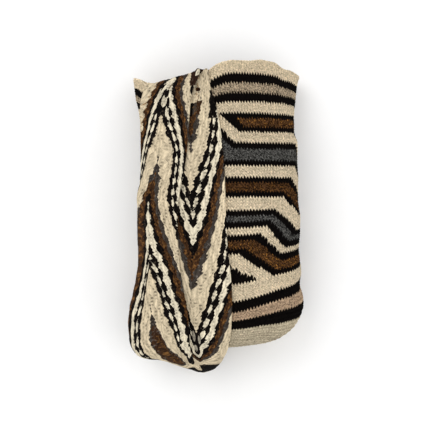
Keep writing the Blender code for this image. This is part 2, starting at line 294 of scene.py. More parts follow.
def clear_of_bag(points):
    """Points pushed out to where the band just clears the bag."""
    near, normals = BAG[:, ::3].reshape(-1, 3), NORMAL[:, ::3].reshape(-1, 3)
    out = []
    for p in points:
        i = int(np.argmin(((near - p) ** 2).sum(1)))
        short = FIRST + 2.2 - float(np.dot(p - near[i], normals[i]))
        out.append(p + normals[i] * max(0.0, short))
    return np.array(out)


def strap_sections():
    sections = []
    xs = np.linspace(-53, -4.5, NA)
    r = FABRIC / 2 + GAP + STRAP_THICK / 2 + LIP_ROUND
    for inside in (24, 12):
        sections.append([lip_point(x, 180, r, inside) for x in xs])
    for angle in (180, 135, 90, 45, 0):
        sections.append([lip_point(x, angle, r) for x in xs])
    for y0, y1, x0, width in DOWN:
        sections.append(over_bag(y0, y1, x0, width, lambda t: FIRST)[::-1])
    left_of_down = table([((a + b) / 2, x - w) for a, b, x, w in DOWN])
    for i, (inner, outer, bulge) in enumerate(TURN):
        points = free(inner, outer, bulge)
        sections.append(clear_of_bag(points) if i < 3 else points)
    for y0, y1, x0, width in UP:
        step = (x0 - float(left_of_down((y0 + y1) / 2))) / width

        def offset(t, step=step, width=width):
            return SECOND - (SECOND - FIRST) * ease((t - step) * width / 14 - 0.6)

        sections.append(over_bag(y0, y1, x0, width, offset))
    xs = np.linspace(-9.5, -83, NA)
    raised = [r + (STRAP_THICK + GAP + 0.6) * (1 - ease((-61 - x) / 12)) + 2.5 * ease((x + 26) / 14) for x in xs]
    for angle in (10, 50, 90):
        sections.append([lip_point(x, angle, q) for x, q in zip(xs, raised)])
    sections.append(free((-3, 181, 63), (-77, 168, 38), (0, 3, 2)))
    sections.append(free((12, 178, 36), (-61, 168, 20), (0, 3, 0)))
    sections.append(free((25, 168, 15.5), (-48, 161, 10), (0, 2, -1)))
    flat = FABRIC + FIRST + 0.2
    sections.append(free((33, 154, flat), (-39, 148, flat), (0, 0, 0)))
    sections.append(free((38, 140, flat), (-34, 135, flat), (0, 0, 0)))
    return np.array([np.array(s, float) for s in sections])


# ------------------------------------------------------------------ camera
PIX = 1000.0                      # focal length in pixels of a 430-pixel picture
CAM = (1.0, 5.75, 1310.0)         # millimetres, in the model's frame


def to_pixels(p):
    """Where points of the bag, in its own millimetres, fall in the picture."""
    p = np.asarray(p, float)
    scale = (CAM[2] - p[..., 2]) / PIX
    return np.stack([215 + (p[..., 0] + SHIFT_X - CAM[0]) / scale, 215 - (p[..., 1] + SHIFT_Y - CAM[1]) / scale], -1)


def smooth(t):
    t = np.clip(t, 0, 1)
    return t * t * (3 - 2 * t)


# How far the finished wool's outline is eased in or out, in picture pixels, by
# place along each side: the worked surface gives a little where the solid form is plain.
EASE_LEFT = ((70, 2), (88, 2.4), (94, 1.5), (100, 0.1), (106, -0.8), (118, -1.1), (126, -0.4), (136, 0.4), (148, 1.4), (160, 2.3), (172, 3.0), (184, 3.3), (190, 2.3), (197, 1.6), (206, 2.8), (220, 3.1), (268, 3.1), (280, 2.0), (292, 0.3), (304, -1.7), (316, -1.3), (331, -0.7), (340, -1.8), (352, -3.3), (362, -3.5))
EASE_RIGHT = ((70, 0.6), (78, 1.3), (100, 2.0), (112, 1.5), (124, 2.2), (136, 1.4), (142, 2.1), (160, 2.2), (178, 2.2), (196, 1.3), (203, 0.9), (214, 1.6), (232, 1.8), (247, 0.9), (262, 0.8), (273, 1.3), (281, -0.1), (288, 0), (298, 0.9), (304, 2.0), (312, 1.0), (322, 0), (340, 0))
EASE_TOP = ((133, -1), (140, -2.8), (145, -2.6), (150, -1.0), (155, 0.3), (161, 1.5), (170, 2.0), (176, 0.8), (190, 0.9), (195, 1.3), (200, -0.8), (205, -1.8), (210, -4.0), (215, -2.2), (220, -0.4), (226, 0.9), (235, 1.4), (250, 1.4), (256, 0.4), (261, -0.5), (275, -0.1), (285, 0.5), (290, -0.3), (296, -1.0))
EASE_BOTTOM = ((130, 4.0), (135, 4.0), (140, 3.1), (146, 2.0), (155, -0.1), (161, -1.9), (170, -2.6), (180, -1.8), (195, -0.8), (200, 0.7), (206, 1.8), (215, 1.5), (224, 0), (230, -1.8), (242, -1.4), (260, -1.0), (270, 0.2), (279, 1.2), (287, 0.8), (300, 0))
SIDE_LEFT = ((70, 131), (82, 131), (100, 135), (118, 140), (148, 138), (172, 136.5), (196, 134), (250, 133.5), (280, 132.5), (316, 128.5), (334, 129.3), (346, 135), (358, 151), (370, 190))
SIDE_RIGHT = ((70, 288), (82, 296), (118, 292.7), (142, 295.5), (190, 296.8), (226, 299), (268, 300), (298, 302.5), (316, 299.5), (328, 291.7), (340, 273), (350, 240), (370, 210))
SIDE_TOP = ((131, 80), (145, 84.4), (160, 78.6), (180, 74), (197, 68.3), (210, 71), (220, 62), (235, 58.2), (265, 60.3), (280, 66.4), (296, 75))
SIDE_BOTTOM = ((130, 336), (140, 351.5), (155, 359.6), (180, 367), (200, 371), (215, 366.7), (224, 357), (230, 350), (260, 344.8), (285, 333.4), (296, 324), (302, 305))


def eased(p):
    """Points with the outline's small corrections: full at the outline and gone a few centimetres inside."""
    px = to_pixels(p)
    x, y = px[..., 0], px[..., 1]

    def at(rows, t):
        return np.interp(t, *zip(*rows))

    dx = at(EASE_LEFT, y) * (1 - smooth((x - at(SIDE_LEFT, y)) / 34)) + at(EASE_RIGHT, y) * (1 - smooth((at(SIDE_RIGHT, y) - x) / 26))
    dy = at(EASE_TOP, x) * (1 - smooth((y - at(SIDE_TOP, x)) / 16)) + at(EASE_BOTTOM, x) * (1 - smooth((at(SIDE_BOTTOM, x) - y) / 26))
    scale = (CAM[2] - p[..., 2]) / PIX
    return np.stack([p[..., 0] + dx * scale, p[..., 1] - dy * scale, p[..., 2]], -1)


def placed(p):
    """Points in metres, in the model's frame."""
    return (eased(np.asarray(p, float)) + (SHIFT_X, SHIFT_Y, 0.0)) * MM


# -------------------------------------------------------------- bag's yarns
CREAM, BLACK, BROWN, GREY, MARL, BEIGE, PINK, RIM_LIT = range(8)
# Bands from the mouth down, by their edges in the picture at the column X = 36 mm,
# with how many rows of loops each takes.
BANDS = (
    (59.5, 74, 5, RIM_LIT), (74, 84, 3, BLACK), (84, 93.5, 3, MARL), (93.5, 103, 3, BLACK),
    (103, 114, 4, CREAM), (114, 119.5, 2, BLACK), (119.5, 128, 3, BROWN), (128, 133, 2, BLACK),
    (133, 143.7, 4, CREAM), (143.7, 150, 2, BLACK), (150, 161.6, 4, GREY), (161.6, 167, 2, BLACK),
    (167, 178.4, 4, CREAM), (178.4, 183.7, 2, BLACK), (183.7, 193, 3, BROWN), (193, 198.4, 2, BLACK),
    (198.4, 211.5, 4, CREAM), (211.5, 217.5, 2, BLACK), (217.5, 223, 2, GREY), (223, 229.3, 2, BLACK),
    (229.3, 236.3, 2, CREAM), (236.3, 242, 2, BLACK), (242, 249.8, 3, BROWN), (249.8, 255, 2, BLACK),
    (255, 266, 4, CREAM), (266, 284.5, 6, BLACK), (284.5, 301.5, 6, CREAM), (301.5, 312.3, 4, BLACK),
    (312.3, 320.8, 3, PINK), (320.8, 330, 3, BLACK),
)
BASE_ROW = 3.6        # millimetres a row takes in the base
COLUMNS = 144         # loops round the wall
rng = np.random.default_rng(7)

sag = table(((205, 0), (40, 0), (-15, 7), (-45, 13), (-80, 22), (-105, 27)))
FRONT_SAG = ((0, 1), (0.057, 0.77), (0.118, 0.46), (0.172, 0.12), (0.192, 0), (0.215, -0.09), (0.25, -0.11))
BACK_SAG = ((0, 1), (0.08, 1.15), (0.16, 1.25), (0.25, 1.28))


def sag_share(u):
    """How much of the rows' rise a column gets: they rise towards both sides and stay high at the back."""
    u = np.asarray(u, float) % 1.0
    side = np.minimum(np.abs(u - np.round(u * 2) / 2), 0.25)
    f = np.interp(side, *zip(*FRONT_SAG))
    b = np.interp(side, *zip(*BACK_SAG))
    return np.where(u <= 0.5, f, b)


def sampled(grid, u, t):
    """The grid at turn u and row t, both arrays."""
    c = (np.asarray(u, float) % 1.0) * 2 * HALF
    i = np.minimum(c.astype(int), 2 * HALF - 1)
    a = (c - i)[..., None]
    t = np.clip(np.asarray(t, float), 0, len(grid) - 1.001)
    j = t.astype(int)
    b = (t - j)[..., None]
    return (grid[j, i] * (1 - a) + grid[j, i + 1] * a) * (1 - b) + (grid[j + 1, i] * (1 - a) + grid[j + 1, i + 1] * a) * b


def bag_points(u, t, offset):
    n = sampled(NORMAL, u, t)
    n /= np.linalg.norm(n, axis=-1, keepdims=True) + 1e-12
    return sampled(BAG, u, t) + n * np.asarray(offset, float)[..., None]


REF = int(np.argmin(np.abs(BAG[60, : HALF + 1, 0] - 36)))
ref_px = to_pixels(BAG[:, REF])[:, 1]
ref_len = np.concatenate([[0], np.cumsum(np.linalg.norm(np.diff(BAG[:, REF], axis=0), axis=1))])
edges, yarns = [BANDS[0][0]], []
for q0, q1, n, yarn in BANDS:
    edges += list(np.linspace(q0, q1, n + 1)[1:])
    yarns += [yarn] * n
edges = np.array(edges)
last = int(np.argmax(ref_px))
row_t = list(np.interp(edges, ref_px[: last + 1], np.arange(last + 1)))
row_t[0] = 0.0
start_len = float(np.interp(row_t[-1], np.arange(len(ref_len)), ref_len))
base_count = int(round((ref_len[-1] - 4 - start_len) / BASE_ROW))
more = np.linspace(start_len, ref_len[-1] - 4, base_count + 1)[1:]
row_t += list(np.interp(more, ref_len, np.arange(len(ref_len))))
yarns += [BEIGE] * base_count
row_t = np.array(row_t)
ROWS = len(yarns)
row_q = np.concatenate([edges, edges[-1] + (more - start_len) / 1.2])


def row_lines(u, r):
    """Row index of the grid for loop-row r (a fraction is between two lines) at turn u."""
    t = np.interp(r, np.arange(ROWS + 1), row_t)
    height = np.where(t <= 145, MOUTH_Y - 2.0 * t, BASE_Y)
    near_pole = np.clip((t - 145) / (len(BAG) - 1 - 145), 0, 1)
    return t - 0.5 * sag(height) * sag_share(u) * (1 - smooth(near_pole * 1.25))


# Length of the front half's arc, and the turn of its middle line, by row of the grid.
front_len = np.linalg.norm(np.diff(BAG[:, : HALF + 1], axis=1), axis=2).sum(1)
middle = np.array([np.interp(0.0, -row[: HALF + 1, 0], np.arange(HALF + 1)) / (2 * HALF) for row in BAG[:195]])
middle = np.concatenate([middle, np.full(len(BAG) - 195, middle[-1])])
A0 = table(((156, 110), (172.5, 100), (188.5, 89), (204, 81), (219, 72), (231.5, 62), (245, 46), (253, 34), (265, 19), (284, 19)))
A1 = table(((156, 149), (172.5, 137), (188.5, 125), (204, 115), (219, 97), (231.5, 86), (245, 79), (253, 74), (265, 79), (284, 79)))
STEP_DOWN = table(((200, 22), (222, 24.5), (240, 25.5), (249, 27.5), (255, 30), (284, 30)))
L1 = table(((114, 40), (133, 31.7), (144, 27), (156, 17), (172, 5), (188, -7), (204, -18), (231, -38), (253, -60)))
FINE_Q = np.linspace(60, 330, 1081)


def band_position(a, q):
    """The band position that shows at arc position a and nominal position q: the bands step once on the right and once on the left."""
    qq = np.clip(FINE_Q, 114, 284)
    lo, hi, left = A0(np.clip(qq, 156, 284)), A1(np.clip(qq, 156, 284)), L1(np.clip(qq, 114, 253))
    fade = smooth((qq - 112) / 6)
    out = np.empty_like(q)
    for k in range(len(q)):
        step = (22 * np.clip((left - a[k]) / 30, 0, 1) - STEP_DOWN(qq) * np.clip((a[k] - lo) / (hi - lo), 0, 1)) * fade
        source = np.maximum.accumulate(FINE_Q - step)
        out[k] = np.interp(q[k], source, FINE_Q) if 114 <= q[k] < 284 else q[k]
    return out


def yarn_at(q):
    i = np.clip(np.searchsorted(edges, q, side="right") - 1, 0, len(edges) - 1)
    table_ = np.array(yarns[: len(edges) - 1] + [BEIGE])
    return table_[i]


def undulation(u, t):
    """Slow unevenness of the hand-worked wall, in millimetres."""
    w = 2 * np.pi * u
    return (
        0.45 * np.sin(3 * w + 0.05 * t + 1.0)
        + 0.35 * np.sin(7 * w - 0.09 * t + 2.2)
        + 0.30 * np.sin(11 * w + 0.16 * t)
        + 0.22 * np.sin(0.31 * t + 4 * w)
    ) * np.clip(t / 12, 0.2, 1) * np.clip((len(BAG) - t) / 25, 0, 1)


def build_bag():
    """One closed shell of loops: the outer face loop by loop, the rolled rim, and the inner face."""
    points, faces, face_yarn, face_tone, depth = [], [], [], [], []
    total = 0

    # Every point keeps how deep it sits among the loops, 0.35 unless given; the wool is painted darker with it, a
    # painted shade between the loops.
    def ring(p, gap_shade_depth=0.35):
        nonlocal total
        points.append(p)
        depth.append(np.broadcast_to(np.asarray(gap_shade_depth, float), (len(p),)))
        total += len(p)
        return np.arange(total - len(p), total)

    def strip(a, b, yarn, tone):
        """Faces between ring a and ring b, which has as many points or half or twice as many; yarn and tone per point of the longer ring."""
        n = max(len(a), len(b))
        for k in range(len(b) if len(a) >= len(b) else len(a)):
            m = min(len(a), len(b))
            if len(a) == len(b):
                faces.append((a[k], a[(k + 1) % n], b[(k + 1) % n], b[k]))
                face_yarn.append(yarn[k]), face_tone.append(tone[k])
            elif len(a) > len(b):
                a0, a1, a2, b0, b1 = a[2 * k], a[2 * k + 1], a[(2 * k + 2) % n], b[k], b[(k + 1) % m]
                faces.extend(((a0, a1, b0), (a1, b1, b0), (a1, a2, b1)))
                face_yarn.extend((yarn[2 * k], yarn[2 * k], yarn[2 * k + 1])), face_tone.extend((tone[2 * k], tone[2 * k], tone[2 * k + 1]))
            else:
                a0, a1, b0, b1, b2 = a[k], a[(k + 1) % m], b[2 * k], b[2 * k + 1], b[(2 * k + 2) % n]
                faces.extend(((a0, b1, b0), (a0, a1, b1), (a1, b2, b1)))
                face_yarn.extend((yarn[2 * k], yarn[2 * k], yarn[2 * k + 1])), face_tone.extend((tone[2 * k], tone[2 * k], tone[2 * k + 1]))

    # how many loops each row has
    counts, n = [], COLUMNS
    for r in range(ROWS):
        t = float(np.interp(r + 0.5, np.arange(ROWS + 1), row_t))
        if t > 150:
            around = np.linalg.norm(np.diff(sampled(BAG, np.linspace(0, 0.99999, 200), np.full(200, t)), axis=0), axis=1).sum()
            while around / n < 2.5 and n > 9:
                n //= 2
        counts.append(n)

    yarn_of, tone_of = [], []
    for r in range(ROWS):
        n = counts[r]
        u = (np.arange(n) + 0.5) / n
        t = row_lines(u, np.full(n, r + 0.5))
        flip = np.where(u <= 0.5, u, 1 - u)
        ti = np.clip(t, 0, len(BAG) - 2).astype(int)
        a = (middle[ti] - flip) * 2 * front_len[ti]
        if r < len(edges) - 1:
            q = np.full(n, (edges[r] + edges[r + 1]) / 2)
            yarn = yarn_at(band_position(a, q))
            if 108 < edges[r] < 132:
                yarn = np.where(((a < 29 + 1.15 * (edges[r] - 119.5)) | (edges[r] < 118.5)) & (yarn == BROWN), BLACK, yarn)
        else:
            yarn = np.full(n, BEIGE)
        yarn_of.append(yarn)
        paler = 0.8 if 241 < row_q[r] < 250 else 4.2 if 256 < row_q[r] < 282 else 2.4 if 119 < row_q[r] < 128 else 0.0
        tone_of.append(rng.normal(0, 1, n) * 0.6 + rng.normal(0, 0.5) + paler * (yarn == BROWN))

    # Outer face: three lines of points to a row of loops, two points to a loop.
    CENTRE, SIDE = (-0.50, 0.80, 0.65), (-0.80, -0.05, -0.15)
    lines, line_row = [], []
    for r in range(ROWS):
        n = counts[r]
        base_u = np.arange(n) / n
        lift = rng.normal(0, 0.12, n)
        shift = rng.normal(0, 0.10, n)
        for g in range(3):
            u = np.empty(2 * n)
            u[0::2] = base_u
            u[1::2] = base_u + 0.64 / n
            t = row_lines(u, np.full(2 * n, r + g / 3.0))
            loop = min(1.0, (COLUMNS / n))
            zig = np.zeros(2 * n)
            zig[1::2] = 1.7 + shift * 2.0
            zig *= smooth(np.array((r + g / 3.0) / 1.2)) * loop
            t = np.clip(t - zig, 0, None)
            off = np.empty(2 * n)
            off[0::2] = SIDE[g]
            off[1::2] = CENTRE[g] + lift
            off += undulation(u, t)
            # How deep each point sits between the loops: sides and row lines deep, loop middles shallow. It sets the
            # painted shade in the gaps.
            gap_shade_depth = np.empty(2 * n)
            gap_shade_depth[0::2] = (1.0, 0.50, 0.6)[g]
            gap_shade_depth[1::2] = (0.85, 0.0, 0.1)[g]
            lines.append(ring(bag_points(u, t, off), gap_shade_depth))
            line_row.append(r)
    for k in range(len(lines) - 1):
        r = line_row[k]
        n2 = max(len(lines[k]), len(lines[k + 1]))
        strip(lines[k], lines[k + 1], np.repeat(yarn_of[r], n2 // counts[r]), np.repeat(tone_of[r], n2 // counts[r]))
    # middle of the base
    end = sampled(BAG, np.linspace(0, 0.99, 60), np.full(60, len(BAG) - 1.001)).mean(0)
    tip = ring(end[None] + np.array([[0, 0.4, 0]]))[0]
    for k in range(len(lines[-1])):
        faces.append((lines[-1][k], lines[-1][(k + 1) % len(lines[-1])], tip))
        face_yarn.append(BEIGE), face_tone.append(0.0)

    # Rolled rim: points on a round edge that is a little thicker than the wall, two to a loop.
    n = COLUMNS
    u = np.empty(2 * n)
    u[0::2] = np.arange(n) / n
    u[1::2] = np.arange(n) / n + 0.5 / n
    edge, below = sampled(BAG, u, np.zeros(2 * n)), sampled(BAG, u, np.full(2 * n, 4.0))
    normal = sampled(NORMAL, u, np.zeros(2 * n))
    along = np.roll(edge, -1, 0) - np.roll(edge, 1, 0)
    along /= np.linalg.norm(along, axis=1, keepdims=True)
    out = edge - below
    out -= along * (out * along).sum(1, keepdims=True)
    out /= np.linalg.norm(out, axis=1, keepdims=True)
    normal = normal - out * (normal * out).sum(1, keepdims=True)
    normal -= along * (normal * along).sum(1, keepdims=True)
    normal /= np.linalg.norm(normal, axis=1, keepdims=True)
    rim_lines = []
    bump = np.where(np.arange(2 * n) % 2 == 0, 0.35, -0.30)
    slow = undulation(u, np.zeros(2 * n))[:, None] * normal
    for i, angle in enumerate((35, 62, 90, 118, 150, 180)):
        c, s = math.cos(math.radians(angle)), math.sin(math.radians(angle))
        radius = FABRIC / 2 + 0.30 + bump * (1 if i % 2 else -0.6)
        rim_lines.append(ring(edge - normal * FABRIC / 2 + slow + radius[:, None] * (c * normal + (0.85 * s + 0.15) * out)))
    # The rim's wool takes the lighter cream, a painted light.
    rim_yarn, rim_tone = np.full(2 * n, RIM_LIT), np.repeat(rng.normal(0, 1, n), 2)
    strip(rim_lines[0], lines[0], rim_yarn, rim_tone)
    for k in range(len(rim_lines) - 1):
        strip(rim_lines[k + 1], rim_lines[k], rim_yarn, rim_tone)

    # Inner face: one line to a row, with one point to a loop at the mouth and to two loops further in.
    inner = []
    for r in range(1, ROWS + 1):
        n = counts[min(r, ROWS - 1)]
        if r > 3 and n > 9:
            n //= 2
        u = (np.arange(n)) / n
        t = row_lines(u, np.full(n, float(r)))
        off = -FABRIC - 0.25 + 0.35 * np.where((np.arange(n) + r) % 2 == 0, 1, -1) + undulation(u, t)
        inner.append(ring(bag_points(u, t, off)))
    strip(inner[0], rim_lines[-1], np.repeat(yarn_of[0], 2), np.repeat(tone_of[0], 2))
    for k in range(len(inner) - 1):
        m = max(len(inner[k]), len(inner[k + 1]))
        yarn = yarn_of[min(k + 1, ROWS - 1)]
        tone = tone_of[min(k + 1, ROWS - 1)]
        if len(yarn) < m:
            yarn, tone = np.repeat(yarn, m // len(yarn)), np.repeat(tone, m // len(tone))
        elif len(yarn) > m:
            yarn, tone = yarn[:: len(yarn) // m], tone[:: len(tone) // m]
        strip(inner[k + 1], inner[k], yarn, tone)
    tip = ring(end[None] + np.array([[0, FABRIC + 0.6, 0]]))[0]
    for k in range(len(inner[-1])):
        faces.append((inner[-1][(k + 1) % len(inner[-1])], inner[-1][k], tip))
        face_yarn.append(BEIGE), face_tone.append(0.0)

    # The back lies flat: what would sink into the floor is pressed onto it.
    points = np.concatenate(points)
    points[:, 2] = 0.02 + 0.5 * np.logaddexp(0, (points[:, 2] - 0.02) / 0.5)
    return add_mesh("mochila_bag", placed(points), faces, {"yarn": face_yarn, "tone": face_tone}, {"depth": np.concatenate(depth)})


def add_mesh(name, points, faces, on_faces, on_points):
    mesh = bpy.data.meshes.new(name)
    mesh.from_pydata(points.tolist(), [], [tuple(int(i) for i in f) for f in faces])
    for key, values in on_faces.items():
        layer = mesh.attributes.new(key, "FLOAT", "FACE")
        layer.data.foreach_set("value", np.asarray(values, np.float32))
    for key, values in on_points.items():
        layer = mesh.attributes.new(key, "FLOAT", "POINT")
        layer.data.foreach_set("value", np.asarray(values, np.float32))
    mesh.validate(clean_customdata=False)
    mesh.update()
    obj = bpy.data.objects.new(name, mesh)
    bpy.context.scene.collection.objects.link(obj)
    mesh.shade_smooth()
    return obj


# ------------------------------------------------------------------- strap
STRAP_HALF = 2.2      # half of the band's thickness
PERIOD = 143.0        # one repeat of the chevrons
# Place along the middle line in millimetres, and the chevrons' phase there.
PHASE = (
    (0, -52), (40, -33), (60, -23), (76, -14.5), (100, -6.5), (129, 0), (150, 16), (176, 37), (200, 56), (220, 74), (243, 94),
    (260, 108), (283, 127), (302, 143), (343, 180), (367, 204), (409, 225), (464, 250), (509, 270), (539, 286), (592, 323),
    (620, 345), (673, 381), (723, 429), (779, 466), (820, 505), (840, 520), (880, 545), (970, 619),
)
MIDDLE = ((0, 0.5), (80, 0.52), (129, 0.52), (176, 0.51), (220, 0.54), (243, 0.53), (260, 0.505), (283, 0.47), (302, 0.448), (343, 0.464), (380, 0.42), (430, 0.38), (480, 0.40), (539, 0.50), (592, 0.49), (620, 0.46), (673, 0.475), (723, 0.435), (779, 0.455), (820, 0.49), (900, 0.5), (970, 0.5))
# How far the worn band's pattern has slipped from straight chevrons: place along, then the
# slip at nine even places across.
SLIP = (
    (40, -16, -22, -27, -32, -34, -33, -29, -16, -3), (60, -13, -19, -25, -30, -33, -32, -27, -16, -5),
    (75, -12, -17, -22, -28, -30, -28, -23, -15, -4), (90, -10, -14, -18, -23, -25, -20, -21, -15, -4),
    (105, -9, -11, -13, -16, -18, -16, -20, -16, -7), (120, -9, -9, -8, -8, -7, -9, -14, -11, -5), (140, -7, -6, -5, -2, 1, -5, -10, -6, 3),
    (165, -4, -4, -4, -3, -1, -8, -12, -7, 9), (190, -1, -2, -3, -4, -5, -10, -14, -6, 9), (215, 3, 0, -3, -5, -5, -10, -13, -5, 5),
    (240, 6, 2, -2, -3, -2, -6, -7, -6, -3), (265, 11, 7, 2, -2, -2, -7, -14, -17, -17), (290, 16, 12, 8, 5, -3, -16, -22, -22, -24),
    (315, 21, 16, 13, 8, -8, -23, -21, -21, -18), (340, 27, 19, 11, 0, -12, -15, -13, -8, 3), (360, 31, 23, 14, 2, -7, -12, -7, 5, 12),
    (380, 32, 29, 23, 17, 19, 12, 10, 4, -8), (395, 31, 27, 24, 45, 66, 53, 31, 11, -16), (403, 31, 33, 42, 78, 91, 67, 46, 16, -11),
    (412, 32, 43, 69, 102, 95, 77, 53, 30, 1), (418, 35, 45, 59, 63, 53, 51, 42, 27, 1), (425, 34, 44, 64, 84, 70, 52, 36, 21, -3),
    (433, 36, 52, 72, 74, 56, 32, 16, 3, -13), (442, 36, 45, 40, 20, -1, -4, -6, -13, -22), (452, 29, 24, 17, 12, -5, -20, -21, -21, -23),
    (463, 31, 21, 6, 5, -17, -29, -28, -25, -26), (474, 30, 23, 4, 8, -17, -27, -28, -27, -28), (485, 27, 28, 5, 15, -15, -25, -31, -30, -29),
    (498, 13, 21, -2, 7, -20, -26, -30, -29, -27), (512, -1, 3, -15, 2, -13, -30, -31, -28, -22), (535, -9, -10, -15, -9, -3, -13, -15, -11, -9),
    (560, -9, -7, -12, -22, -10, 3, 14, 8, -16), (590, -7, -15, -16, -17, -4, 12, 15, -9, -36), (620, 6, -1, -6, 0, 14, 10, -10, -36, -52),
    (650, 11, 2, 2, 2, 4, -7, -29, -52, -61), (680, 15, 7, 6, -3, -7, -18, -37, -56, -56), (710, 10, -7, -15, -5, -6, -31, -43, -45, -40),
    (740, 4, -16, -32, -13, -6, -22, -30, -22, -19), (770, 16, 1, -6, -10, -3, 0, 1, 1, -13), (800, 21, 9, -1, -4, -2, 1, -2, -15, -31),
    (830, 15, 8, 0, -3, -5, -13, -24, -33, -42), (860, 3, 2, 1, -1, -5, -13, -22, -27, -29),
)
REACH = 116.0         # phase from the middle line to an edge of the flat band
FLAT_HALF = 42.0      # and the millimetres between them
RIB, DASH, LINK = 14.0, 3.6, 11.0     # phase across one rib; lengths along, in pattern pixels, of a stitch and of a link of the chain
LONG, SLOWER = 560.0, 0.19     # before this place along, the links are longer by this share
SHEAR, STEP = 0.39, 8.0               # how the links lean, and how far a band's edge steps at each
phase_at, middle_at = table(PHASE), table(MIDDLE)


def bspline(control, per):
    """A cubic B-spline along the first axis that starts and ends at the end points, per steps to a span."""
    c = np.concatenate([2 * control[:1] - control[1:2], control, 2 * control[-1:] - control[-2:-1]])
    t = np.arange(per) / per
    w = np.stack([(1 - t) ** 3, 3 * t**3 - 6 * t**2 + 4, -3 * t**3 + 3 * t**2 + 3 * t + 1, t**3]) / 6
    spans = [sum(w[k][:, None, None] * c[i + k] for k in range(4)) for i in range(len(control) - 1)]
    spans.append(control[-1:])
    return np.concatenate(spans)


def strap_surface(rows, across):
    """The band's middle surface: rows lines along it, at the shares across."""
    cage = strap_sections()
    dense = bspline(cage, 20)
    flip = np.swapaxes(dense, 0, 1)
    dense = np.swapaxes(bspline(flip, 8), 0, 1)                    # 65 places across
    mid = dense[:, 32]
    s = np.concatenate([[0], np.cumsum(np.linalg.norm(np.diff(mid, axis=0), axis=1))])
    q = np.linspace(0, s[-1], rows)
    i = np.clip(np.searchsorted(s, q) - 1, 0, len(s) - 2)
    f = ((q - s[i]) / (s[i + 1] - s[i]))[:, None, None]
    grid = dense[i] * (1 - f) + dense[i + 1] * f
    e = np.asarray(across) * 64
    j = np.clip(e.astype(int), 0, 63)
    g = (e - j)[None, :, None]
    return grid[:, j] * (1 - g) + grid[:, j + 1] * g, q


def unit(v):
    return v / (np.linalg.norm(v, axis=-1, keepdims=True) + 1e-12)


def strap_phase(s, e, grid):
    """Phase, signed share across from the band's own middle, and place along, in pattern pixels."""
    width = np.linalg.norm(np.diff(grid, axis=1), axis=2).sum(1)
    v = (e[None] - middle_at(s)[:, None]) * width[:, None] / FLAT_HALF
    at = [row[0] for row in SLIP]
    slip = np.array([np.interp(s, at, [row[k + 1] for row in SLIP]) for k in range(9)])
    place = e * 8
    k = np.clip(place.astype(int), 0, 7)
    slip = slip[k].T * (1 - (place - k)) + slip[k + 1].T * (place - k)
    # The lowest chevron of the run that goes down sags in the fold.
    sag = 30 * np.exp(-(((s[:, None] - 388) / 20) ** 2) - ((v + 0.06) / 0.2) ** 2)
    return phase_at(s)[:, None] + REACH * np.abs(v) + slip - sag, v, np.broadcast_to(s[:, None] / 1.2, v.shape)


def strap_relief(phase, v, along):
    """Height of the weave in millimetres: ribs along the chevrons, the chain's links and lozenges, and small holes between ribs."""
    x = np.mod((along + SLOWER * np.maximum(LONG - along, 0) + SHEAR * phase) / LINK, 1)
    shifted = phase + STEP * np.maximum(0.5 - x, 0.5 - (1 - x) * 5.67)
    m = np.mod(shifted, PERIOD)
    rib = 0.22 * np.cos(2 * np.pi * shifted / RIB) + 0.10 * np.cos(4 * np.pi * shifted / RIB)
    lean = 0.7 * np.abs(np.mod(shifted / RIB, 1) - 0.5) + 0.38 * np.floor(shifted / RIB)
    stitch = np.cos(2 * np.pi * (along / DASH + lean))
    chain = (m > 37) & (m < 76)
    lozenge = np.clip(1.6 * (1 - np.abs(m - 56.5) / 7 - (2 * x - 1) ** 2), 0, 1)
    cords = np.clip(1 - (np.abs(np.abs(m - 56.5) - 12.5) / 9) ** 2, 0, 1)
    hole = np.clip(-np.cos(2 * np.pi * shifted / RIB), 0, 1) ** 2 * np.clip(-stitch, 0, 1)
    return np.where(chain, 0.34 * cords + 0.30 * lozenge - 0.1, rib - 0.14 * hole) + 0.04 * stitch


